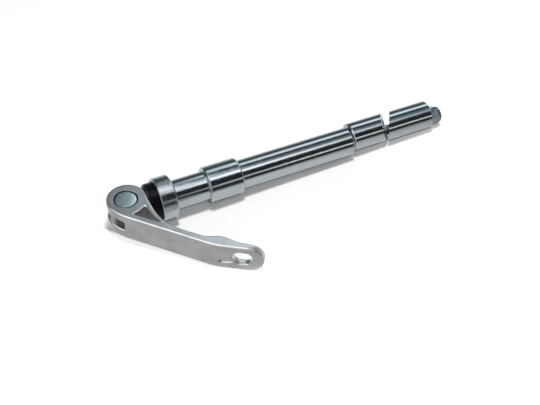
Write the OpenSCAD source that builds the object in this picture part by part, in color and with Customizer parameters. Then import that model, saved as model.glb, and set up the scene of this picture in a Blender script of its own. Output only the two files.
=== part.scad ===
// Quick release axle for a 12 mm through bore, with a folding cam lever and a pair of locking wedges.
// The axle's centre line is X, towards the lock nut. The lever's pivot stands along Z.
// The origin lies on the centre line, at the shoulder between the collar and the shaft.

/* [Axle body] */
// Diameter of the long shaft, and of the stub at the lever's end
shaft_d = 12; // [11:0.1:13]
// Length of the shaft, from the collar's shoulder to its free end
shaft_l = 50; // [40:1:70]
// Diameter of the collar
collar_d = 15; // [14:0.1:18]
// Length of the collar
collar_l = 14.5; // [10:0.5:20]
// Free length of the stub, between the collar and the end cup
stub_l = 13.9; // [8:0.1:20]
// Bore that the draw rod runs through
body_bore_d = 6; // [5.4:0.1:7]
// Chamfer on the axle body's turned edges
edge_chamfer = 0.6; // [0.3:0.1:0.9]

/* [Locking wedges] */
// Diameter of both wedges
wedge_d = 11.9; // [11.4:0.1:12.5]
// Mean length of the wedge that follows the shaft
inner_wedge_l = 17; // [13:0.5:22]
// Mean length of the wedge under the lock nut
outer_wedge_l = 18.2; // [14:0.1:22]
// Slope of the wedge faces from square
wedge_angle = 30; // [20:1:33]
// Mean gap between the two wedge faces while the axle is slack
wedge_gap = 2.3; // [2.2:0.1:3]
// Turn of the inner wedge's face about the axle
inner_wedge_turn = -40; // [-45:1:-25]
// Turn of the outer wedge's face about the axle
outer_wedge_turn = -12; // [-30:1:-8]
// Sideways slip of the inner wedge from the centre line
inner_slip = 1.4; // [0.8:0.1:1.4]
// Sideways slip of the outer wedge from the centre line
outer_slip = 1.2; // [0.6:0.1:1.2]
// Direction of the inner wedge's slip, from +Y towards +Z
inner_slip_turn = 30; // [20:5:45]
// Direction of the outer wedge's slip, from +Y towards +Z
outer_slip_turn = 35; // [20:5:45]
// Space left round the rod at the end of a wedge's slip
slip_clearance = 0.1; // [0.05:0.05:0.3]

/* [Draw rod and lock nut] */
// Diameter of the draw rod
rod_d = 4; // [3.8:0.1:4.2]
// Width of the lock nut across its flats
nut_af = 7; // [7:0.1:7.5]
// Height of the lock nut with its collar
nut_h = 5; // [4.6:0.1:5.6]
// Height of the round collar that holds the nut's locking ring
nut_collar_h = 1.3; // [1:0.1:1.6]
// Chamfer on the nut's corners
nut_chamfer = 0.3; // [0.2:0.1:0.5]
// Rounding of the nut's collar
nut_crown_r = 0.5; // [0.3:0.1:0.6]
// Outer diameter of the locking ring
ring_d = 5.4; // [5:0.1:5.6]
// Thickness of the locking ring
ring_t = 1.2; // [0.8:0.1:1.3]
// Depth of the locking ring below the nut's end
ring_recess = 0.1; // [0.05:0.05:0.3]
// Length of the rod's tip that stands out of the nut
rod_tip = 0.3; // [0.1:0.1:1.5]
// Length of the rod beyond the middle of the pivot pin
rod_grip = 3; // [2.2:0.1:3.5]

/* [End cup and cam washer] */
// Outer diameter of the end cup
cup_d = 17.9; // [16.5:0.1:19.5]
// Length of the end cup
cup_l = 6.6; // [5.5:0.1:8]
// Thickness of the cup's wall
cup_wall = 1.2; // [0.9:0.1:1.6]
// Thickness of the cup's floor
cup_floor = 2; // [1.8:0.1:2.6]
// Depth of the recess in the cup's front face that takes the end of the stub
cup_recess = 0.8; // [0.5:0.1:1]
// Length of the cam washer that stands out of the cup
washer_proud = 4; // [3.6:0.1:5.5]
// Depth of the groove that the cam runs in
seat_depth = 0.6; // [0.4:0.05:0.7]
// Radius of the groove that the cam runs in
seat_r = 9.75; // [9.4:0.05:11]
// Chamfer on the washer's outer edge
washer_chamfer = 0.8; // [0.4:0.1:1.2]

/* [Cam lever head] */
// Height of the lever along its pivot
lever_h = 11.8; // [10.5:0.1:13]
// Radius of the cam
cam_r = 7.9; // [7.6:0.05:8.2]
// Eccentricity of the cam, half of the rod's pull
cam_offset = 0.45; // [0.3:0.05:0.5]
// Space between the slack cam and its seat
cam_gap = 0.35; // [0.3:0.05:0.5]
// Width of the fork slot that the rod swings in
fork_w = 4.6; // [4.4:0.1:5.2]
// Direction of the closed end of the fork slot
fork_end_angle = 246.5; // [236:0.5:250]
// Distance of the rib's flat face from the pivot
rib_face = 8; // [7.5:0.05:8]
// Thickness of the rib that faces the end cup, level with the pivot
rib_t = 3.6; // [2.8:0.1:4.2]
// Lean of the rib's inner face, which makes the rib thinner away from the pivot
rib_taper = 11.2; // [8:0.2:13]
// Radius of the solid ring round the pivot, beside the triangular opening
eye_r = 8.1; // [7.8:0.1:8.4]

/* [Cam lever arm] */
// Direction of the straight part of the arm, from +X
arm_angle = -46.5; // [-55:0.5:-40]
// Distance of the arm's front face from the pivot
arm_front = 8.4; // [8:0.1:9]
// Thickness of the arm
arm_t = 2.8; // [2.3:0.1:3.4]
// Direction in which the front face leaves the round head, from the arm's own direction
nose_angle = 205; // [200:1:220]
// Distance along the arm from the pivot to where its front face becomes flat
front_start = 4.5; // [3:0.5:8]
// Radius of the fillet between the back of the arm and the rib
rib_fillet_r = 20; // [12:0.5:22]
// Distance along the arm from the pivot to the start of the bent tip
bend_start = 37; // [33:0.5:42]
// Length of the arc between the straight part and the tip
bend_l = 7; // [5:0.5:9]
// Angle that the tip turns back towards the axle
tip_turn = 13.5; // [8:0.5:18]
// Length of the tip beyond the bend
tip_l = 15.2; // [14.5:0.1:18]
// Height of the thumb bump above the back of the arm
bump_h = 2.1; // [1:0.1:2.6]
// Length of the thumb bump's rise, towards the tip
bump_rise = 8.5; // [7:0.5:12]
// Length of the thumb bump's fall
bump_fall = 8.5; // [7:0.5:12]
// Distance of the bump's crest beyond the start of the bend
bump_crest = 5; // [2:0.5:7]
// Length of the finger slot near the tip
finger_slot_l = 7.9; // [7:0.1:9]
// Width of the finger slot
finger_slot_w = 6; // [5:0.1:6.4]
// Width of the shoulders where the tip's rounding starts
tip_shoulder = 0.1; // [0.05:0.05:0.5]
// Distance of the finger slot's centre from the end of the tip
finger_slot_inset = 8.3; // [8.2:0.1:9.5]

/* [Pivot pin] */
// Diameter of the pivot pin
pin_d = 9; // [8.4:0.1:9.4]
// Depth of the pin's ends below the lever's faces
pin_recess = 0.1; // [0:0.05:0.8]
// Chamfer on the pin's ends
pin_chamfer = 0.3; // [0.1:0.05:0.5]
// Depth of the countersink round the pin, in the lever's faces
pin_countersink = 1.2; // [0.4:0.1:1.4]

/* [Clearances] */
// Radial clearance of the pivot pin in the lever
pin_clearance = 0.05; // [0.02:0.01:0.1]
// Radial clearance of parts that are screwed or pushed together
seat_clearance = 0.02; // [0.01:0.01:0.05]
// Radial clearance of the rod in the cup, the washer and the fork slot
rod_clearance = 0.3; // [0.15:0.05:0.5]
// Radial clearance of the stub in the cup's recess
stub_clearance = 0.2; // [0.1:0.05:0.3]
// Gap between faces that turn or slide on each other
face_gap = 0.1; // [0.05:0.05:0.3]
// Gap between the loose inner wedge and the shaft's end
wedge_play = 0.3; // [0.1:0.1:1]

/* [Hidden] */
$fn = 96;
cut = 1;
curve_steps = 10;

// Stations along the axle
collar_back = -collar_l;
cup_front = collar_back - stub_l;
stub_back = cup_front - cup_recess + face_gap;
cup_rim = cup_front - cup_l;
washer_base = cup_front - cup_floor - seat_clearance;
washer_face = cup_rim - washer_proud;
seat_x = washer_face + seat_depth;
pin_x = seat_x - cam_gap - cam_r - cam_offset;
inner_back = shaft_l + wedge_play;
inner_mean = inner_back + inner_wedge_l;
outer_mean = inner_mean + wedge_gap;
outer_front = outer_mean + outer_wedge_l;
nut_back = outer_front + face_gap;
nut_front = nut_back + nut_h;
rod_back = pin_x - rod_grip;
rod_front = nut_front + rod_tip;

// Radii
shaft_r = shaft_d / 2;
collar_r = collar_d / 2;
wedge_r = wedge_d / 2;
rod_r = rod_d / 2;
rod_hole_r = rod_r + rod_clearance;
rod_seat_r = rod_r + seat_clearance;
inner_bore_r = rod_r + inner_slip + slip_clearance;
outer_bore_r = rod_r + outer_slip + slip_clearance;
cup_r = cup_d / 2;
washer_r = cup_r - cup_wall - seat_clearance;
pin_r = pin_d / 2;
pin_hole_r = pin_r + pin_clearance;
ring_r = ring_d / 2;

// Lever arm, in its own axes: u runs along the arm and v from the front face towards the axle
arm_back = -arm_front + arm_t;
bend_r = bend_l * 180 / (PI * tip_turn);
bend_end = [bend_start + bend_r * sin(tip_turn), -arm_front + bend_r * (1 - cos(tip_turn))];
tip_dir = [cos(tip_turn), sin(tip_turn)];
tip_end = bend_end + tip_l * tip_dir;
slot_at = bend_end + (tip_l - finger_slot_inset) * tip_dir;
arm_l = bend_start + bend_l + tip_l;

// A direction or point of the pivot's XY axes, in the arm's axes
function to_arm(p) = [
    p[0] * cos(arm_angle) + p[1] * sin(arm_angle),
    p[1] * cos(arm_angle) - p[0] * sin(arm_angle)];

// The back face's straight line, at a given X of the pivot's axes
function on_back_line(x) = [x, (arm_back + x * sin(arm_angle)) / cos(arm_angle)];

// The front face's direction, place and thickness at a length s along it
function turn_at(s) = tip_turn * min(1, max(0, (s - bend_start) / bend_l));

function front_at(s) =
    let (a = turn_at(s), beyond = max(0, s - bend_start - bend_l))
    [min(s, bend_start) + bend_r * sin(a) + beyond * cos(a),
     -arm_front + bend_r * (1 - cos(a)) + beyond * sin(a)];

function ease(x) = let (t = min(1, max(0, x))) t * t * (3 - 2 * t);

function thickness_at(s) =
    let (crest = bend_start + bump_crest)
    arm_t + bump_h * ease(1 + (s - crest) / bump_rise) * ease(1 - (s - crest) / bump_fall);

function back_at(s) = front_at(s) + thickness_at(s) * [-sin(turn_at(s)), cos(turn_at(s))];

// A curve from p along p_dir to q along q_dir
function blend(p, p_dir, q, q_dir) =
    let (handle = norm(q - p) / 3)
    [for (k = [0 : curve_steps])
        let (t = k / curve_steps)
        pow(1 - t, 3) * p + 3 * pow(1 - t, 2) * t * (p + handle * p_dir)
        + 3 * (1 - t) * pow(t, 2) * (q - handle * q_dir) + pow(t, 3) * q];

// The front face leaves the cam and runs to the tip
front_edge = concat(
    blend(to_arm([cam_offset, 0]) + cam_r * [cos(nose_angle), sin(nose_angle)],
          [-sin(nose_angle), cos(nose_angle)], [front_start, -arm_front], [1, 0]),
    [for (k = [0 : curve_steps]) front_at(bend_start + bend_l * k / curve_steps)],
    [tip_end]);

// The back face runs from the tip over the thumb bump to the rib's fillet
fillet_x = rib_face + rib_fillet_r;
fillet_y = on_back_line(fillet_x)[1] + rib_fillet_r / cos(arm_angle);
fillet_turn = 90 + arm_angle;
bump_start = bend_start + bump_crest - bump_rise;
back_edge = concat(
    [back_at(arm_l)],
    [for (k = [0 : 2 * curve_steps])
        back_at(bump_start + (bump_rise + bump_fall) * (1 - k / (2 * curve_steps)))],
    [for (k = [0 : curve_steps])
        let (a = 180 + fillet_turn * (1 - k / curve_steps))
        to_arm([fillet_x + rib_fillet_r * cos(a), fillet_y + rib_fillet_r * sin(a)])]);

// A turned piece along X: each entry of the profile is a station and a radius
module turned(profile) {
    rotate([90, 0, 90])
        rotate_extrude()
            polygon([for (p = profile) [p[1], p[0]]]);
}

// A round hole along X
module hole_x(r, from, to) {
    translate([from, 0, 0])
        rotate([0, 90, 0])
            cylinder(r = r, h = to - from);
}

// Everything on the +X side of a plane that leans by wedge_angle, its steepest way turned about X
module beyond_slope(x, turn) {
    reach = 3 * wedge_d;
    rotate([turn, 0, 0])
        translate([x, 0, 0])
            rotate([0, 0, -wedge_angle])
                translate([0, -reach / 2, -reach / 2])
                    cube(reach);
}

// Places a piece off the centre line, by a slip towards a direction between +Y and +Z
module slipped(slip, turn) {
    translate([0, slip * cos(turn), slip * sin(turn)])
        children();
}

module axle_body() {
    c = edge_chamfer;
    color("silver")
        difference() {
            turned([
                [stub_back, 0], [stub_back, shaft_r - c], [stub_back + c, shaft_r],
                [collar_back, shaft_r], [collar_back, collar_r - c], [collar_back + c, collar_r],
                [-c, collar_r], [0, collar_r - c], [0, shaft_r],
                [shaft_l - c, shaft_r], [shaft_l, shaft_r - c], [shaft_l, 0]]);
            hole_x(body_bore_d / 2, stub_back - cut, shaft_l + cut);
        }
}

module end_cup() {
    c = edge_chamfer;
    inner_r = cup_r - cup_wall;
    color("gainsboro")
        difference() {
            turned([
                [cup_rim, 0], [cup_rim, cup_r - c / 2], [cup_rim + c / 2, cup_r],
                [cup_front - c, cup_r], [cup_front, cup_r - c], [cup_front, 0]]);
            hole_x(inner_r, cup_rim - cut, cup_front - cup_floor);
            hole_x(rod_hole_r, cup_rim, cup_front + cut);
            hole_x(shaft_r + stub_clearance, cup_front - cup_recess, cup_front + cut);
        }
}

module cam_washer() {
    c = washer_chamfer;
    color("dimgray")
        difference() {
            turned([
                [washer_face, 0], [washer_face, washer_r - c], [washer_face + c, washer_r],
                [washer_base, washer_r], [washer_base, 0]]);
            translate([seat_x - seat_r, 0, -cup_r])
                cylinder(r = seat_r, h = cup_d, $fn = 180);
            hole_x(rod_hole_r, washer_face - cut, washer_base + cut);
        }
}

// The arm's outline, its head end closed inside the cam
module arm_outline() {
    rotate(arm_angle)
        polygon(concat(front_edge, back_edge, [to_arm([rib_face, 0]), [0, 0]]));
}

// Rounds the tip, seen square to its front face
module tip_rounding() {
    r = lever_h / 2 - tip_shoulder;
    rotate([0, 0, arm_angle + tip_turn])
        translate([tip_end * tip_dir - r, 0, 0])
            rotate([90, 0, 0])
                difference() {
                    translate([0, -lever_h, -lever_h * 2])
                        cube([lever_h, lever_h * 2, lever_h * 4]);
                    translate([0, 0, -lever_h * 2 - cut])
                        cylinder(r = r, h = lever_h * 4 + 2 * cut);
                }
}

// Finger slot through the tip, square to its front face
module finger_slot() {
    r = finger_slot_w / 2;
    along = (finger_slot_l - finger_slot_w) / 2;
    rotate([0, 0, arm_angle])
        translate([slot_at[0], slot_at[1], 0])
            rotate([90, 0, tip_turn])
                translate([0, 0, -arm_t - bump_h - cut])
                    linear_extrude(arm_t + bump_h + 2 * cut)
                        union() {
                            translate([-along, 0])
                                circle(r);
                            translate([along, 0])
                                circle(r);
                            square([2 * along, 2 * r], center = true);
                        }
}

// Slot between the cheeks: the rod swings in it from the folded to the open position
module fork_slot() {
    reach = 3 * cam_r;
    side = rod_hole_r;
    translate([0, 0, -fork_w / 2])
        linear_extrude(fork_w)
            polygon([
                [0, 0], [0, -side], [reach, -side], [reach, reach], [-reach, reach], [-reach, -reach],
                reach * [cos(fork_end_angle), sin(fork_end_angle)]]);
}

// Triangular opening between the eye, the rib and the front plate
module triangle_opening() {
    inner_x = rib_face - rib_t;
    rib_l = -(arm_back + inner_x * sin(arm_angle)) / cos(arm_angle - rib_taper);
    difference() {
        translate([0, 0, -lever_h])
            linear_extrude(2 * lever_h)
                polygon([
                    [inner_x, 0],
                    [inner_x + rib_l * sin(rib_taper), -rib_l * cos(rib_taper)],
                    arm_back * [-sin(arm_angle), cos(arm_angle)]]);
        cylinder(r = eye_r, h = 4 * lever_h, center = true);
    }
}

// Hole for the pivot pin, countersunk at both ends
module pin_hole() {
    r = pin_hole_r;
    c = pin_countersink;
    half = lever_h / 2;
    rotate_extrude()
        polygon([
            [0, -half - cut], [r + c + cut, -half - cut], [r, c - half],
            [r, half - c], [r + c + cut, half + cut], [0, half + cut]]);
}

module cam_lever() {
    color("lightgray")
        translate([pin_x, 0, 0])
            difference() {
                union() {
                    translate([cam_offset, 0, 0])
                        cylinder(r = cam_r, h = lever_h, center = true);
                    translate([0, 0, -lever_h / 2])
                        linear_extrude(lever_h)
                            arm_outline();
                }
                pin_hole();
                fork_slot();
                triangle_opening();
                finger_slot();
                tip_rounding();
            }
}

module pivot_pin() {
    half = lever_h / 2 - pin_recess;
    c = pin_chamfer;
    color("lightsteelblue")
        difference() {
            translate([pin_x, 0, 0])
                rotate_extrude()
                    polygon([
                        [0, -half], [pin_r - c, -half], [pin_r, c - half],
                        [pin_r, half - c], [pin_r - c, half], [0, half]]);
            hole_x(rod_seat_r, pin_x - pin_d, pin_x + pin_d);
        }
}

module draw_rod() {
    c = rod_d / 10;
    color("silver")
        turned([
            [rod_back, 0], [rod_back, rod_r], [rod_front - c, rod_r],
            [rod_front, rod_r - c], [rod_front, 0]]);
}

// A wedge turned about its own bore, which lies off the centre line by its slip
module inner_wedge() {
    c = edge_chamfer;
    ahead = inner_mean + wedge_d;
    color("silver")
        slipped(inner_slip, inner_slip_turn)
            difference() {
                turned([
                    [inner_back, 0], [inner_back, wedge_r - c], [inner_back + c, wedge_r],
                    [ahead, wedge_r], [ahead, 0]]);
                beyond_slope(inner_mean, inner_wedge_turn);
                hole_x(inner_bore_r, inner_back - cut, ahead + cut);
            }
}

module outer_wedge() {
    c = edge_chamfer;
    behind = outer_mean - wedge_d;
    color("silver")
        slipped(outer_slip, outer_slip_turn)
            difference() {
                turned([
                    [behind, 0], [behind, wedge_r], [outer_front - c, wedge_r],
                    [outer_front, wedge_r - c], [outer_front, 0]]);
                translate([2 * outer_mean, 0, 0])
                    rotate([outer_wedge_turn + 180, 0, 0])
                        mirror([1, 0, 0])
                            beyond_slope(outer_mean, 0);
                hole_x(outer_bore_r, behind - cut, outer_front + cut);
            }
}

module lock_nut() {
    corner_r = nut_af / sqrt(3);
    collar_back_x = nut_front - nut_collar_h;
    neck_r = nut_af / 2 - nut_chamfer / 2;
    c = nut_chamfer;
    r = nut_crown_r;
    color("slategray")
        difference() {
            intersection() {
                translate([nut_back, 0, 0])
                    rotate([0, 90, 0])
                        cylinder(r = corner_r, h = nut_h, $fn = 6);
                turned(concat(
                    [[nut_back, 0], [nut_back, nut_af / 2], [nut_back + c, corner_r],
                     [collar_back_x - c, corner_r], [collar_back_x, neck_r]],
                    [for (a = [0 : 15 : 90])
                        [nut_front - r + r * sin(a), neck_r - r + r * cos(a)]],
                    [[nut_front, 0]]));
            }
            hole_x(rod_seat_r, nut_back - cut, nut_front + cut);
            hole_x(ring_r, nut_front - ring_t, nut_front + cut);
        }
}

module nut_ring() {
    color("whitesmoke")
        difference() {
            hole_x(ring_r - seat_clearance, nut_front - ring_t + seat_clearance, nut_front - ring_recess);
            hole_x(rod_seat_r, nut_back, nut_front + cut);
        }
}

axle_body();
end_cup();
cam_washer();
cam_lever();
pivot_pin();
draw_rod();
inner_wedge();
outer_wedge();
lock_nut();
nut_ring();
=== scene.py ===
# Quick release axle: turned, cast and moulded pieces over the CAD model, and the studio round it.
# Profiles are written in millimetres and everything in Blender is in metres.
# X runs along the axle towards the lock nut, and the lever's pivot stands along Z.
import math

import bmesh
import bpy
from mathutils import Matrix, Vector


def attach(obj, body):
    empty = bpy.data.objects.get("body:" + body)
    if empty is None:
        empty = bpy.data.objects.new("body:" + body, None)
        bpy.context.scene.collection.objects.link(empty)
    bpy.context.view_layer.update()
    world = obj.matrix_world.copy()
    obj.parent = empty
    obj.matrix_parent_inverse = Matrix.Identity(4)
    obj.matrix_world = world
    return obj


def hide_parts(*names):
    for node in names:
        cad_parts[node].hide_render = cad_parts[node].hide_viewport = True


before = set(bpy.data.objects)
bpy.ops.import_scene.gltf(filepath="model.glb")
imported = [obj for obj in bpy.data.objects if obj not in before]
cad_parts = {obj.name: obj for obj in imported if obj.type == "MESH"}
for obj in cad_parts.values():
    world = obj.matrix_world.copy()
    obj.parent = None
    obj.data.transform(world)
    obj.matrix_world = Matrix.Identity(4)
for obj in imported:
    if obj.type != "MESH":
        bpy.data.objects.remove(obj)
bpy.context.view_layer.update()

MM = 0.001
SIDES = 128

# Stations along the axle
STUB_BACK = -29.1
CUP_FRONT = -28.4
CUP_RIM = -35.0
WASHER_BASE = -30.42
WASHER_FACE = -39.0
SEAT_CENTRE = -48.15
PIN_X = -47.1
COLLAR_BACK = -14.5
SHAFT_END = 50.0
INNER_BACK = 50.3
INNER_MEAN = 67.3
OUTER_MEAN = 69.6
OUTER_FRONT = 87.8
NUT_BACK = 87.9
NUT_FRONT = 92.9
ROD_BACK = -50.1
ROD_FRONT = 93.2

# Radii
SHAFT_R = 6.0
COLLAR_R = 7.5
BODY_BORE_R = 3.0
CUP_R = 8.95
CUP_INNER_R = 7.75
WASHER_R = 7.73
SEAT_R = 9.75
ROD_R = 2.0
ROD_HOLE_R = 2.3
ROD_SEAT_R = 2.02
WEDGE_R = 5.95
INNER_BORE_R = 3.5
OUTER_BORE_R = 3.3
PIN_R = 4.5
PIN_HOLE_R = 4.55

# The turned edges' chamfer, and the break at the edge of a bore
EDGE = 0.6
BORE_EDGE = 0.4


def pick(piece):
    """Makes the piece the only one that is selected."""
    bpy.ops.object.select_all(action="DESELECT")
    piece.select_set(True)
    bpy.context.view_layer.objects.active = piece


def named(name):
    """Names the new primitive and puts its place into its mesh."""
    piece = bpy.context.object
    piece.name = name
    piece.data.name = name
    bpy.ops.object.transform_apply(location=True, rotation=True, scale=True)
    return piece


def apply_modifier(piece, kind, **settings):
    """Adds a modifier to the piece and applies it."""
    modifier = piece.modifiers.new(kind.lower(), kind)
    for key, value in settings.items():
        setattr(modifier, key, value)
    pick(piece)
    bpy.ops.object.modifier_apply(modifier=modifier.name)


def cut_away(piece, cutter, operation="DIFFERENCE"):
    """Cuts the piece with the cutter, or joins or trims it, and removes the cutter."""
    apply_modifier(piece, "BOOLEAN", operation=operation, object=cutter, solver="EXACT")
    pick(cutter)
    bpy.ops.object.delete()
    pick(piece)


def round_edges(piece, width, segments=3, sharper_than=25):
    """Breaks every edge that is sharper than an angle, and smooths what is left between them."""
    apply_modifier(
        piece, "BEVEL", width=width * MM, segments=segments,
        limit_method="ANGLE", angle_limit=math.radians(sharper_than))
    pick(piece)
    bpy.ops.object.shade_smooth_by_angle(angle=math.radians(40))
    apply_modifier(piece, "WEIGHTED_NORMAL", keep_sharp=True)


def turned(name, profile, along="X", solid=False):
    """A ring drawn along the axis through each station and radius of the profile, in millimetres."""
    lengthwise = along == "X"
    axis = Vector((1, 0, 0)) if lengthwise else Vector((0, 0, 1))
    station, radius = profile[0]
    bpy.ops.object.select_all(action="DESELECT")
    bpy.ops.mesh.primitive_circle_add(
        vertices=SIDES, radius=radius * MM, fill_type="NGON" if solid else "NOTHING",
        location=axis * station * MM, rotation=(0, math.pi / 2 if lengthwise else 0, 0))
    piece = named(name)
    bpy.ops.object.mode_set(mode="EDIT")
    bpy.ops.mesh.select_all(action="SELECT")
    for next_station, next_radius in profile[1:]:
        step = axis * (next_station - station) * MM
        bpy.ops.mesh.extrude_region_move(TRANSFORM_OT_translate={"value": step})
        growth = next_radius / radius
        bpy.ops.transform.resize(
            value=(1, growth, growth) if lengthwise else (growth, growth, 1),
            center_override=axis * next_station * MM)
        station, radius = next_station, next_radius
    bpy.ops.mesh.select_all(action="SELECT")
    bpy.ops.mesh.remove_doubles(threshold=0.0005 * MM)
    bpy.ops.mesh.normals_make_consistent(inside=False)
    bpy.ops.object.mode_set(mode="OBJECT")
    return piece


def rod_shaped(radius, start, end, along="X", at=(0, 0, 0)):
    """A plain round cutter between two stations, in millimetres."""
    middle = (start + end) / 2
    shift = Vector((middle, 0, 0)) if along == "X" else Vector((0, 0, middle))
    bpy.ops.object.select_all(action="DESELECT")
    bpy.ops.mesh.primitive_cylinder_add(
        vertices=SIDES, radius=radius * MM, depth=(end - start) * MM,
        location=(shift + Vector(at)) * MM,
        rotation=(0, math.pi / 2 if along == "X" else 0, 0))
    return named("cutter")


def turned_axle_body():
    piece = turned("turned_axle_body", [
        (STUB_BACK, BODY_BORE_R + BORE_EDGE), (STUB_BACK, SHAFT_R - EDGE), (STUB_BACK + EDGE, SHAFT_R),
        (COLLAR_BACK, SHAFT_R), (COLLAR_BACK, COLLAR_R - EDGE), (COLLAR_BACK + EDGE, COLLAR_R),
        (-EDGE, COLLAR_R), (0, COLLAR_R - EDGE), (0, SHAFT_R),
        (SHAFT_END - EDGE, SHAFT_R), (SHAFT_END, SHAFT_R - EDGE),
        (SHAFT_END, BODY_BORE_R + BORE_EDGE), (SHAFT_END - BORE_EDGE, BODY_BORE_R),
        (STUB_BACK + BORE_EDGE, BODY_BORE_R), (STUB_BACK, BODY_BORE_R + BORE_EDGE)])
    round_edges(piece, 0.09)
    return piece


def turned_end_cup():
    floor = CUP_FRONT - 2
    recess = CUP_FRONT - 0.8
    recess_r = SHAFT_R + 0.2
    lip = 0.15
    piece = turned("turned_end_cup", [
        (recess, ROD_HOLE_R), (recess, recess_r), (CUP_FRONT, recess_r),
        (CUP_FRONT, CUP_R - EDGE), (CUP_FRONT - EDGE, CUP_R), (CUP_RIM + EDGE / 2, CUP_R),
        (CUP_RIM, CUP_R - EDGE / 2), (CUP_RIM, CUP_INNER_R + lip), (CUP_RIM + lip, CUP_INNER_R),
        (floor, CUP_INNER_R), (floor, ROD_HOLE_R), (recess, ROD_HOLE_R)])
    round_edges(piece, 0.08)
    return piece


def moulded_washer():
    chamfer = 0.8
    piece = turned("moulded_washer", [
        (WASHER_BASE, ROD_HOLE_R), (WASHER_BASE, WASHER_R), (WASHER_FACE + chamfer, WASHER_R),
        (WASHER_FACE, WASHER_R - chamfer), (WASHER_FACE, ROD_HOLE_R), (WASHER_BASE, ROD_HOLE_R)])
    groove = rod_shaped(SEAT_R, -10, 10, along="Z", at=(SEAT_CENTRE, 0, 0))
    cut_away(piece, groove)
    round_edges(piece, 0.12)
    return piece


def turned_pin():
    half = 5.8
    edge_w = 0.4
    edge_l = 1.1
    dish = 0.08
    dish_r = 1.2
    piece = turned("turned_pin", [
        (dish - half, dish_r), (-half, PIN_R - edge_w), (edge_l - half, PIN_R),
        (half - edge_l, PIN_R), (half, PIN_R - edge_w), (half - dish, dish_r)],
        along="Z", solid=True)
    piece.location.x = PIN_X * MM
    bpy.ops.object.transform_apply(location=True, rotation=True, scale=True)
    cut_away(piece, rod_shaped(ROD_SEAT_R, PIN_X - 6, PIN_X + 6))
    round_edges(piece, 0.12)
    return piece


def threaded_rod():
    """The draw rod, with a thread at the end that carries the nut."""
    thread_start = 74.0
    pitch = 0.7
    root_r = 1.62
    tip = 0.3
    ridge_l = 0.62
    ridge_up = 0.06
    crest_share = 0.14
    piece = turned("threaded_rod", [
        (ROD_BACK, ROD_R - tip), (ROD_BACK + tip, ROD_R), (thread_start - 0.3, ROD_R),
        (thread_start, root_r), (ROD_FRONT - tip, root_r), (ROD_FRONT, root_r - tip)], solid=True)
    bpy.ops.object.select_all(action="DESELECT")
    bpy.ops.mesh.primitive_plane_add(
        size=ridge_l * MM, location=((thread_start - 0.2) * MM, 0, (root_r + ridge_up) * MM),
        rotation=(math.pi / 2, 0, 0))
    ridge = named("thread")
    bpy.ops.object.mode_set(mode="EDIT")
    select_edges(ridge, lambda middle: middle.z > root_r * MM + 0.2 * MM)
    bpy.ops.transform.resize(value=(crest_share, 1, 1))
    bpy.ops.transform.translate(value=(0, 0, (ROD_R - root_r - ridge_up - ridge_l / 2) * MM))
    bpy.ops.mesh.select_all(action="SELECT")
    bpy.ops.mesh.delete(type="ONLY_FACE")
    bpy.ops.object.mode_set(mode="OBJECT")
    turns = int((ROD_FRONT - tip - thread_start) / pitch)
    apply_modifier(
        ridge, "SCREW", axis="X", screw_offset=pitch * MM, iterations=turns,
        steps=36, render_steps=36, use_merge_vertices=False)
    bpy.ops.object.mode_set(mode="EDIT")
    bpy.ops.mesh.select_mode(type="EDGE")
    bpy.ops.mesh.select_all(action="DESELECT")
    bpy.ops.mesh.select_non_manifold()
    bpy.ops.mesh.fill()
    bpy.ops.mesh.select_all(action="SELECT")
    bpy.ops.mesh.normals_make_consistent(inside=False)
    bpy.ops.object.mode_set(mode="OBJECT")
    cut_away(piece, ridge, "UNION")
    pick(piece)
    bpy.ops.object.shade_smooth_by_angle(angle=math.radians(30))
    return piece


def select_edges(piece, wanted):
    """In edit mode, selects the edges whose middle is wanted, and nothing else."""
    bpy.ops.mesh.select_mode(type="EDGE")
    bpy.ops.mesh.select_all(action="DESELECT")
    mesh = bmesh.from_edit_mesh(piece.data)
    for edge in mesh.edges:
        middle = (edge.verts[0].co + edge.verts[1].co) / 2
        edge.select_set(wanted(middle))
    mesh.select_flush_mode()
    bmesh.update_edit_mesh(piece.data)


def sawn_wedge(name, flat_end, far_end, bore_r, mean, sawn_side, slip, slip_turn):
    """A bored length of bar, sawn on the slant and moved off the centre line by its slip."""
    inward = EDGE if far_end > flat_end else -EDGE
    bore_edge = inward * 0.5
    piece = turned(name, [
        (flat_end, bore_r + abs(bore_edge)), (flat_end, WEDGE_R - EDGE), (flat_end + inward, WEDGE_R),
        (far_end, WEDGE_R), (far_end, bore_r), (flat_end + bore_edge, bore_r),
        (flat_end, bore_r + abs(bore_edge))])
    bpy.ops.object.mode_set(mode="EDIT")
    bpy.ops.mesh.select_all(action="SELECT")
    bpy.ops.mesh.bisect(
        plane_co=(mean * MM, 0, 0), plane_no=sawn_side, use_fill=False, clear_outer=True)
    bpy.ops.mesh.select_mode(type="EDGE")
    bpy.ops.mesh.select_all(action="DESELECT")
    bpy.ops.mesh.select_non_manifold()
    bpy.ops.mesh.bridge_edge_loops()
    bpy.ops.mesh.select_all(action="SELECT")
    bpy.ops.mesh.normals_make_consistent(inside=False)
    bpy.ops.object.mode_set(mode="OBJECT")
    turn = math.radians(slip_turn)
    piece.location = (0, slip * math.cos(turn) * MM, slip * math.sin(turn) * MM)
    bpy.ops.object.transform_apply(location=True, rotation=True, scale=True)
    round_edges(piece, 0.1)
    return piece


def slope(turn, towards):
    """The direction square to a face that leans by 30 degrees, its steepest way turned about X."""
    lean = math.radians(30)
    return Matrix.Rotation(math.radians(turn), 3, "X") @ Vector((
        towards * math.cos(lean), -towards * math.sin(lean), 0))


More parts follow.
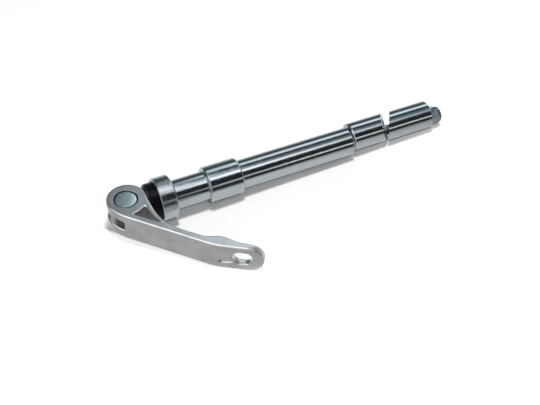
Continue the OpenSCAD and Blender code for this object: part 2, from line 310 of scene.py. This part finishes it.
def hexagonal_lock_nut():
    flats = 3.5
    corner_r = flats / math.cos(math.pi / 6)
    beyond = corner_r + 0.02
    neck_r = 3.35
    crown = 0.5
    seat_l = 1.2
    seat_r = 2.72
    crown_arc = [
        (NUT_FRONT - crown + crown * math.sin(a), neck_r - crown + crown * math.cos(a))
        for a in [math.radians(15 * k) for k in range(7)]]
    piece = turned("hexagonal_lock_nut", [
        (NUT_BACK, ROD_SEAT_R), (NUT_BACK, flats), (NUT_BACK + 0.3, beyond),
        (NUT_FRONT - 1.6, beyond), (NUT_FRONT - 1.3, neck_r), *crown_arc,
        (NUT_FRONT, seat_r), (NUT_FRONT - seat_l, seat_r), (NUT_FRONT - seat_l, ROD_SEAT_R),
        (NUT_BACK, ROD_SEAT_R)])
    bpy.ops.object.select_all(action="DESELECT")
    bpy.ops.mesh.primitive_cylinder_add(
        vertices=6, radius=corner_r * MM, depth=8 * MM,
        location=((NUT_BACK + 2) * MM, 0, 0), rotation=(math.pi / 2, 0, math.pi / 2))
    cut_away(piece, named("hexagon"), "INTERSECT")
    round_edges(piece, 0.07)
    return piece


def locking_ring():
    low = NUT_FRONT - 1.18
    high = NUT_FRONT - 0.1
    outer_r = 2.68
    piece = turned("locking_ring", [
        (low, ROD_SEAT_R), (low, outer_r), (high, outer_r), (high, ROD_SEAT_R), (low, ROD_SEAT_R)])
    round_edges(piece, 0.12, segments=4)
    return piece


# The lever's tip: where its flat front face starts, which way it runs, and which way it faces
TIP_TURN = math.radians(33)
TIP_START = Vector((-23.01, -36.66, 0))
TIP_ALONG = Vector((math.cos(TIP_TURN), -math.sin(TIP_TURN), 0))
TIP_FACING = Vector((-math.sin(TIP_TURN), -math.cos(TIP_TURN), 0))


def scoop_cutter(along, height, depth, length, width, thickness, lean):
    """A flattened ball for hollowing the tip's front face, at a place along it and a height."""
    centre = TIP_START + TIP_ALONG * along - TIP_FACING * depth + Vector((0, 0, height))
    bpy.ops.object.select_all(action="DESELECT")
    bpy.ops.mesh.primitive_uv_sphere_add(segments=48, ring_count=24, radius=1)
    cutter = bpy.context.object
    turn = Matrix((TIP_ALONG, -TIP_FACING, (0, 0, 1))).transposed()
    cutter.matrix_world = (
        Matrix.Translation(centre * MM)
        @ turn.to_4x4() @ Matrix.Rotation(math.radians(lean), 4, "Y")
        @ Matrix.Diagonal((length * MM, thickness * MM, width * MM, 1)))
    return named("cutter")


def rounded_hole_cutter():
    """The pin's hole with the rounding that the casting has at both of its ends."""
    face = 5.98
    rim = 0.3
    steps = [math.radians(15 * k) for k in range(7)]
    upper = [(face - rim + rim * math.cos(a), PIN_HOLE_R + rim - rim * math.sin(a)) for a in steps]
    lower = [(-station, radius) for station, radius in upper]
    beyond = (face + 1, PIN_HOLE_R + rim + 0.4)
    cutter = turned("cutter", [
        (-beyond[0], beyond[1]), *lower, *reversed(upper), beyond], along="Z", solid=True)
    cutter.location.x = PIN_X * MM
    bpy.ops.object.transform_apply(location=True, rotation=True, scale=True)
    return cutter


def cast_lever():
    """The CAD lever with a cast and tumbled skin: rounded edges, and the scoop at its finger slot."""
    slot_half = 2.35
    head_half = 5.9
    voxel = 0.21
    smoothings = 34
    regrown = 0.09
    piece = bpy.data.objects.new("cast_lever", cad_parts["cam_lever"].data.copy())
    bpy.context.scene.collection.objects.link(piece)
    pick(piece)
    bpy.ops.object.mode_set(mode="EDIT")
    bpy.ops.mesh.select_all(action="SELECT")
    bpy.ops.mesh.remove_doubles(threshold=0.001 * MM)
    bpy.ops.object.mode_set(mode="OBJECT")
    plug_r = PIN_HOLE_R + 1.7
    for low, high in ((slot_half, head_half), (-head_half, -slot_half)):
        plug = rod_shaped(plug_r, low, high, along="Z", at=(PIN_X, 0, 0))
        plug.select_set(True)
        piece.select_set(True)
        bpy.context.view_layer.objects.active = piece
        bpy.ops.object.join()
    apply_modifier(piece, "REMESH", mode="VOXEL", voxel_size=voxel * MM)
    apply_modifier(piece, "SMOOTH", factor=0.5, iterations=smoothings)
    apply_modifier(piece, "DISPLACE", strength=regrown * MM, mid_level=0)
    cut_away(piece, rounded_hole_cutter())
    cut_away(piece, scoop_cutter(
        along=2.3, height=-1.7, depth=-0.25, length=3.6, width=1.3, thickness=0.62, lean=-14))
    cut_away(piece, scoop_cutter(
        along=-0.8, height=-2.7, depth=0, length=0.6, width=0.42, thickness=1.6, lean=0))
    bpy.ops.object.shade_smooth_by_angle(angle=math.radians(50))
    return piece


class Signal:
    """One output of a shader node. Arithmetic on it adds Math nodes."""

    def __init__(self, nodes, socket):
        self.nodes = nodes
        self.socket = socket

    def maths(self, operation, first, second=0.0):
        return self.nodes.add("ShaderNodeMath", {"operation": operation}, {0: first, 1: second})

    def __add__(self, other):
        return self.maths("ADD", self, other)

    def __radd__(self, other):
        return self.maths("ADD", other, self)

    def __sub__(self, other):
        return self.maths("SUBTRACT", self, other)

    def __rsub__(self, other):
        return self.maths("SUBTRACT", other, self)

    def __mul__(self, other):
        return self.maths("MULTIPLY", self, other)

    def __rmul__(self, other):
        return self.maths("MULTIPLY", other, self)

    def __truediv__(self, other):
        return self.maths("DIVIDE", self, other)

    def __neg__(self):
        return self.maths("MULTIPLY", self, -1.0)


class Nodes:
    """The node tree of a finish or of the world."""

    def __init__(self, tree):
        self.tree = tree
        tree.nodes.clear()

    def add(self, kind, settings=None, sockets=None, out=0):
        """Adds a node with its settings, then its sockets' values or links, and returns one output."""
        node = self.tree.nodes.new(kind)
        for key, value in (settings or {}).items():
            setattr(node, key, value)
        for key, value in (sockets or {}).items():
            if isinstance(value, Signal):
                self.tree.links.new(value.socket, node.inputs[key])
            else:
                node.inputs[key].default_value = value
        return Signal(self, node.outputs[out])

    def place(self, stretch=(1, 1, 1), centre=(0, 0, 0)):
        """The piece's own coordinates from a centre, each axis stretched by its own factor."""
        coordinates = self.add("ShaderNodeTexCoord", out="Object")
        return self.vector_maths(
            "MULTIPLY", self.vector_maths("SUBTRACT", coordinates, centre), stretch)

    def noise(self, vector, scale=1.0, detail=2.0, roughness=0.5):
        return self.add(
            "ShaderNodeTexNoise", {},
            {"Vector": vector, "Scale": scale, "Detail": detail, "Roughness": roughness})

    def spread(self, signal, low, high, start=0.3, end=0.7):
        """Maps a signal's range from start to end onto low to high, without going beyond."""
        return self.add(
            "ShaderNodeMapRange", {"clamp": True},
            {0: signal, 1: start, 2: end, 3: low, 4: high})

    def larger(self, first, second):
        return first.maths("MAXIMUM", first, second)

    def mix(self, factor, first, second):
        """A colour between two colours."""
        return self.add(
            "ShaderNodeMix", {"data_type": "RGBA"}, {0: factor, 6: first, 7: second}, out=2)

    def ramp(self, factor, stops):
        """A colour ramp through the stops, each of them a position and a colour."""
        tint = self.add("ShaderNodeValToRGB", {}, {0: factor})
        elements = tint.socket.node.color_ramp.elements
        while len(elements) < len(stops):
            elements.new(0.5)
        for element, (position, colour) in zip(elements, stops):
            element.position = position
            element.color = (*colour, 1)
        return tint

    def axes(self, vector, names):
        """The named parts of a vector."""
        return [self.add("ShaderNodeSeparateXYZ", {}, {0: vector}, out=name) for name in names]

    def rays(self):
        """One for the camera's own rays, and one for rays from a reflection."""
        return [self.add("ShaderNodeLightPath", out=kind)
                for kind in ("Is Camera Ray", "Is Glossy Ray")]

    def vector_maths(self, operation, first, second):
        return self.add("ShaderNodeVectorMath", {"operation": operation}, {0: first, 1: second})

    def bump(self, height, depth, over=None):
        """The surface's direction with a relief of the given depth in millimetres."""
        sockets = {"Height": height, "Distance": depth * MM}
        if over is not None:
            sockets["Normal"] = over
        return self.add("ShaderNodeBump", {}, sockets)

    def off_pin(self):
        """The way from the pivot pin's centre line, square to it."""
        return self.place((1, 1, 0), (PIN_X * MM, 0, 0))

    def beyond_pin(self, start, end):
        """Nought within the start radius round the pin's centre line and one past the end radius."""
        distance = self.add(
            "ShaderNodeVectorMath", {"operation": "LENGTH"}, {0: self.off_pin()}, out="Value")
        return self.spread(distance, 0, 1, start * MM, end * MM)

    def surface(self, **sockets):
        """The Principled shader and the output that shows it."""
        shader = self.add(
            "ShaderNodeBsdfPrincipled", {},
            {key.replace("_", " ").title().replace("Ior", "IOR"): value
             for key, value in sockets.items()})
        self.show(shader)

    def show(self, shader, target="ShaderNodeOutputMaterial"):
        output = self.tree.nodes.new(target)
        self.tree.links.new(shader.socket, output.inputs["Surface"])


def new_finish(name):
    """A material and its empty node tree."""
    material = bpy.data.materials.new(name)
    material.use_nodes = True
    return material, Nodes(material.node_tree)


def grey(colour, share):
    """A colour darkened or lightened by a share, with full alpha."""
    return (*[min(1, c * share) for c in colour], 1)


def turned_steel(name, colour, roughness, ring_depth, blotch=0.12, dull=0.12):
    """Zinc plated turned steel: fine turning rings, flecks, a mottle and duller patches."""
    material, n = new_finish(name)
    rings = n.noise(n.place((5200, 900, 900)), detail=3, roughness=0.6)
    grain = n.noise(n.place((2600, 2600, 2600)), detail=2)
    flecks = n.noise(n.place((1300, 1100, 1100)), detail=4, roughness=0.7)
    mottle = n.noise(n.place((420, 520, 520)), detail=3)
    patches = n.spread(mottle * 0.4 + flecks * 0.6, 0, 1)
    n.surface(
        base_color=n.mix(patches, grey(colour, 1 - blotch), grey(colour, 1 + blotch)),
        metallic=1.0,
        roughness=n.spread(mottle, roughness, roughness + dull),
        normal=n.bump(rings * 0.4 + grain * 0.2 + flecks * 0.4, ring_depth))
    return material


def cast_aluminium(name):
    """Tumbled cast aluminium: satin grey with fine grain and shallow waves, and painted shade in the
    pin's bore.
    """
    material, n = new_finish(name)
    waves = n.noise(n.place((350, 350, 350)), detail=3)
    grain = n.noise(n.place((3800, 3800, 3800)), detail=2)
    cloud = n.noise(n.place((170, 170, 170)), detail=4)
    metal = n.mix(n.spread(cloud, 0, 1), (0.64, 0.635, 0.63, 1), (0.80, 0.795, 0.79, 1))
    # Painted shade: the metal in the pin's bore and at its mouth is coloured near black.
    outside_bore = n.beyond_pin(PIN_HOLE_R + 0.15, PIN_HOLE_R + 0.3)
    n.surface(
        base_color=n.mix(outside_bore, (0.09, 0.09, 0.09, 1), metal),
        metallic=1.0,
        roughness=n.spread(grain * 0.5 + cloud * 0.5, 0.26, 0.34),
        normal=n.bump(grain, 0.006, over=n.bump(waves, 0.03)))
    return material


def pin_steel(name):
    """The pin's bright face with faint marks that run out from its middle, and painted shade on its
    edge and side, where it sits in the lever's bore.
    """
    material, n = new_finish(name)
    outward = n.add("ShaderNodeVectorMath", {"operation": "NORMALIZE"}, {0: n.off_pin()})
    rays = n.noise(outward, scale=9, detail=4, roughness=0.7)
    mottle = n.noise(n.place((500, 500, 500)), detail=3)
    face = n.mix(
        n.spread(rays * 0.6 + mottle * 0.4, 0, 1), (0.74, 0.86, 0.89, 1), (0.84, 0.93, 0.95, 1))
    n.surface(
        # Painted shade: near black from 4.15 mm out from the pin's centre line, over its edge and its
        # side in the bore.
        base_color=n.mix(n.beyond_pin(PIN_R - 0.35, PIN_R - 0.2), face, (0.08, 0.09, 0.10, 1)),
        metallic=1.0,
        roughness=n.spread(rays, 0.22, 0.34),
        normal=n.bump(mottle, 0.012))
    return material


def moulded_plastic(name, colour, roughness, shine):
    """Moulded plastic with a fine grain and faint rubbed patches."""
    material, n = new_finish(name)
    grain = n.noise(n.place((2800, 2800, 2800)), detail=3)
    rubbed = n.noise(n.place((380, 700, 700)), detail=4)
    n.surface(
        base_color=n.mix(n.spread(rubbed, 0, 1), grey(colour, 0.9), grey(colour, 1.25)),
        roughness=n.spread(rubbed, roughness - 0.06, roughness + 0.08),
        specular_ior_level=shine,
        normal=n.bump(grain, 0.006))
    return material


zinc = turned_steel(
    "zinc plated steel", (0.44, 0.48, 0.50), roughness=0.1, ring_depth=0.032, dull=0.06)
cup_zinc = turned_steel("turned cup steel", (0.44, 0.47, 0.49), roughness=0.12, ring_depth=0.05)
rod_zinc = turned_steel("draw rod steel", (0.42, 0.47, 0.50), roughness=0.16, ring_depth=0.003)
nut_zinc = turned_steel(
    "lock nut steel", (0.25, 0.28, 0.30), roughness=0.14, ring_depth=0.03, blotch=0.3)
aluminium = cast_aluminium("cast aluminium")
pin_finish = pin_steel("pivot pin steel")
black = moulded_plastic("black acetal", (0.004, 0.0035, 0.004), roughness=0.2, shine=0.12)
nylon = moulded_plastic("nylon", (0.55, 0.56, 0.54), roughness=0.38, shine=0.5)


def fit(piece, finish, body, node):
    """Gives a piece its finish and its body, and hides the CAD node that it stands for."""
    piece.data.materials.clear()
    piece.data.materials.append(finish)
    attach(piece, body)
    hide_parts(node)


fit(turned_axle_body(), zinc, "axle", "axle_body")
fit(turned_end_cup(), cup_zinc, "head", "end_cup")
fit(moulded_washer(), black, "head", "cam_washer")
fit(cast_lever(), aluminium, "lever", "cam_lever")
fit(turned_pin(), pin_finish, "rod", "pivot_pin")
fit(threaded_rod(), rod_zinc, "rod", "draw_rod")
fit(sawn_wedge("sawn_inner_wedge", INNER_BACK, INNER_MEAN + 12, INNER_BORE_R, INNER_MEAN,
               slope(-40, 1), slip=1.4, slip_turn=30), zinc, "inner", "inner_wedge")
fit(sawn_wedge("sawn_outer_wedge", OUTER_FRONT, OUTER_MEAN - 12, OUTER_BORE_R, OUTER_MEAN,
               slope(-12, -1), slip=1.2, slip_turn=35), zinc, "outer", "outer_wedge")
fit(hexagonal_lock_nut(), nut_zinc, "rod", "lock_nut")
fit(locking_ring(), nylon, "rod", "nut_ring")


# The floor leans a little in the axle's frame: the axle lies on its cup, outer wedge and lever tip
FLOOR_UP = Vector((-0.0355, 0.0543, 1)).normalized()
FLOOR_AT = Vector((-31, 0, -8.95)) * MM

# The lever's arm faces this way, along x and y
ARM_FACING = (-0.725, -0.688)


def pale_floor():
    """White paper. The camera sees it a little brighter behind the axle, and painted light lifts the
    shadows on it at the nut and before and round the lever; reflections see painted shade on it far in
    front and near the lever."""
    bpy.ops.object.select_all(action="DESELECT")
    lean = Vector((0, 0, 1)).rotation_difference(FLOOR_UP).to_euler()
    bpy.ops.mesh.primitive_plane_add(size=8, location=FLOOR_AT, rotation=lean)
    floor = named("pale_floor")
    material, n = new_finish("white paper")
    fibres = n.noise(n.place((300, 300, 300)), detail=3)
    white = n.mix(fibres, (0.90, 0.90, 0.90, 1), (0.92, 0.92, 0.92, 1))
    along, across = n.axes(n.place(), "XY")
    camera, mirrored = n.rays()
    before_arm = (along - PIN_X * MM) * ARM_FACING[0] + across * ARM_FACING[1]
    # Painted shade that only reflections see: the paper darker far in front towards the nut and just
    # before the lever's arm, standing in for the axle, the lever and their shadows.
    far_painted_shade = n.spread(along * 0.45 - across * 0.9, 0, 0.88, 0.03, 0.12)
    arm_painted_shade = n.spread(before_arm, 0, 0.5, 0.003, 0.008)
    dark = n.larger(far_painted_shade, arm_painted_shade) * mirrored
    paper = n.add("ShaderNodeBsdfDiffuse", {}, {"Color": n.mix(dark, white, (0, 0, 0, 1))})
    # Painted light that only the camera sees: it lifts the shadows before the lever's arm, round its
    # tip and towards the nut; the glow behind the axle makes the backdrop whiter there.
    arm_painted_light = n.spread(before_arm, 0, 0.55, 0.004, 0.0055)
    tip_painted_light = n.spread(across, 0.55, 0, -0.041, -0.038)
    nut_painted_light = n.spread(along, 0.13, 0.33, 0.045, 0.09)
    back_glow = n.spread(across, 0, 0.08, 0, 0.02)
    bright = (n.larger(arm_painted_light, tip_painted_light) + nut_painted_light + back_glow) * camera
    glow = n.add("ShaderNodeEmission", {}, {"Strength": bright + mirrored * 0.03 * (1 - dark)})
    n.show(n.add("ShaderNodeAddShader", {}, {0: paper, 1: glow}))
    floor.data.materials.append(material)


# The light tent that the polished steel mirrors. An angle runs from overhead (0) towards the front
# (90), in degrees, and x along the axle, in metres. A panel has its first and last angle, how soft
# both edges are, and its colour at some places along x.
TENT_BACKING = [
    (-96, (0.50, 0.50, 0.50)), (-84, (0.24, 0.26, 0.27)), (-76, (0.10, 0.125, 0.135)),
    (-55, (0.09, 0.12, 0.13)), (-22, (0.04, 0.055, 0.07)), (-8, (0.05, 0.06, 0.07)),
    (30, (0.04, 0.045, 0.05)), (48, (0.025, 0.027, 0.03)), (75, (0.03, 0.032, 0.034)),
    (92, (0.035, 0.037, 0.038))]
TENT_PANELS = [
    (-49, -29, 3, 2, [
        (0.091, (0.00, 0.00, 0.00)), (0.104, (0.80, 0.94, 1.00)), (0.138, (1.15, 1.30, 1.36)),
        (0.2, (1.30, 1.42, 1.48)), (0.34, (1.38, 1.44, 1.47))]),
    (-8, 9, 5, 5, [
        (0.085, (2.40, 2.44, 2.50)), (0.104, (0.95, 1.00, 1.06)), (0.138, (0.45, 0.47, 0.51)),
        (0.2, (0.20, 0.20, 0.21)), (0.285, (0.20, 0.26, 0.32)), (0.34, (0.13, 0.21, 0.29))]),
    (-24, -9, 5, 4, [(0.086, (1.70, 1.76, 1.86)), (0.096, (0, 0, 0))]),
    (9, 24, 4, 2, [
        (0.085, (0.15, 0.16, 0.17)), (0.104, (2.30, 2.35, 2.40)), (0.138, (2.50, 2.50, 2.50)),
        (0.2, (1.75, 1.68, 1.62)), (0.285, (1.10, 1.08, 1.06)), (0.34, (0.36, 0.46, 0.56))]),
    (61, 68, 2, 2, [
        (0.085, (0.30, 0.30, 0.30)), (0.104, (0.50, 0.50, 0.49)), (0.138, (0.95, 0.93, 0.90)),
        (0.2, (1.80, 1.68, 1.58)), (0.285, (1.85, 1.72, 1.60)), (0.34, (1.60, 1.50, 1.40))])]
LEVER_PANEL = (1.25, 1.28, 1.34)
TENT_BRIGHTEST = 3.5
TENT_HALF = 0.9
TENT_R = 0.5
TENT_FOOT = -0.045
PANEL_SPAN = 0.4


def stops_of(places, start, span):
    """Ramp stops for colours at places on a scale that begins at start, dimmed to fit a ramp."""
    return [((place - start) / span, [c / TENT_BRIGHTEST for c in colour])
            for place, colour in places]


def light_tent():
    """A half pipe of light panels that only reflections see."""
    bpy.ops.object.select_all(action="DESELECT")
    bpy.ops.mesh.primitive_cylinder_add(
        vertices=180, radius=TENT_R, depth=2 * TENT_HALF, end_fill_type="NOTHING",
        rotation=(0, math.pi / 2, 0))
    tent = named("light_tent")
    bpy.ops.object.mode_set(mode="EDIT")
    select_edges(tent, lambda middle: middle.z < TENT_FOOT)
    bpy.ops.mesh.delete(type="EDGE")
    bpy.ops.object.mode_set(mode="OBJECT")
    material, n = new_finish("tent panels")
    along, across, height = n.axes(n.place(), "XYZ")
    angle = height.maths("ARCTAN2", -across, height) * (180 / math.pi)
    colour = n.ramp((angle + 100) / 200, stops_of(TENT_BACKING, -100, 200))
    for first, last, first_soft, last_soft, colours in TENT_PANELS:
        tint = n.ramp(along / PANEL_SPAN, stops_of(colours, 0, PANEL_SPAN))
        lit = (n.spread(angle, 0, 1, first - first_soft, first + first_soft)
               * n.spread(angle, 1, 0, last - last_soft, last + last_soft))
        colour = n.vector_maths("ADD", colour, n.vector_maths("MULTIPLY", tint, lit))
    beside_lever = n.spread(along, 1, 0, -0.22, -0.12) * n.spread(angle, 0, 1, -12, 0)
    colour = n.mix(beside_lever, colour, (*[c / TENT_BRIGHTEST for c in LEVER_PANEL], 1))
    n.show(n.add("ShaderNodeEmission", {}, {"Color": colour, "Strength": TENT_BRIGHTEST}))
    material.cycles.emission_sampling = "NONE"
    tent.data.materials.append(material)
    tent.visible_camera = False
    tent.visible_diffuse = False
    tent.visible_transmission = False
    tent.visible_volume_scatter = False
    tent.visible_shadow = False


def studio_light():
    """A lamp overhead, and a white surround that is brighter in mirrors than as light."""
    ambient = 0.3
    mirrored = 0.45
    place = Vector((0.0, -0.055, 0.78))
    aim = place.to_track_quat("Z", "Y").to_euler()
    bpy.ops.object.light_add(type="AREA", location=place, rotation=aim)
    lamp = bpy.context.object
    lamp.name = "overhead_softbox"
    lamp.data.shape = "DISK"
    lamp.data.size = 0.14
    lamp.data.energy = 4.15
    lamp.visible_glossy = False
    world = bpy.data.worlds.new("white surround")
    world.use_nodes = True
    bpy.context.scene.world = world
    n = Nodes(world.node_tree)
    camera, mirror = n.rays()
    strength = ambient + (1 - ambient) * camera + (mirrored - ambient) * mirror
    n.show(n.add("ShaderNodeBackground", {}, {"Color": (1, 1, 1, 1), "Strength": strength}),
           "ShaderNodeOutputWorld")


def photo_camera():
    """The camera at the photograph's place, for a frame of 540 by 405 pixels."""
    focal_px = 1097.8
    width_px = 540
    yaw, pitch, roll = math.radians(26.79), math.radians(46.19), math.radians(-2.26)
    bpy.ops.object.camera_add()
    camera = bpy.context.object
    camera.name = "photo_camera"
    camera.data.sensor_width = 36
    camera.data.lens = 36 * focal_px / width_px
    camera.matrix_world = (
        Matrix.Translation(Vector((-128.4, -283.3, 309.1)) * MM)
        @ Matrix.Rotation(-yaw, 4, "Z") @ Matrix.Rotation(math.pi / 2 - pitch, 4, "X")
        @ Matrix.Rotation(-roll, 4, "Z"))
    bpy.context.scene.camera = camera


pale_floor()
light_tent()
studio_light()
photo_camera()
bpy.context.scene.view_settings.view_transform = "Standard"
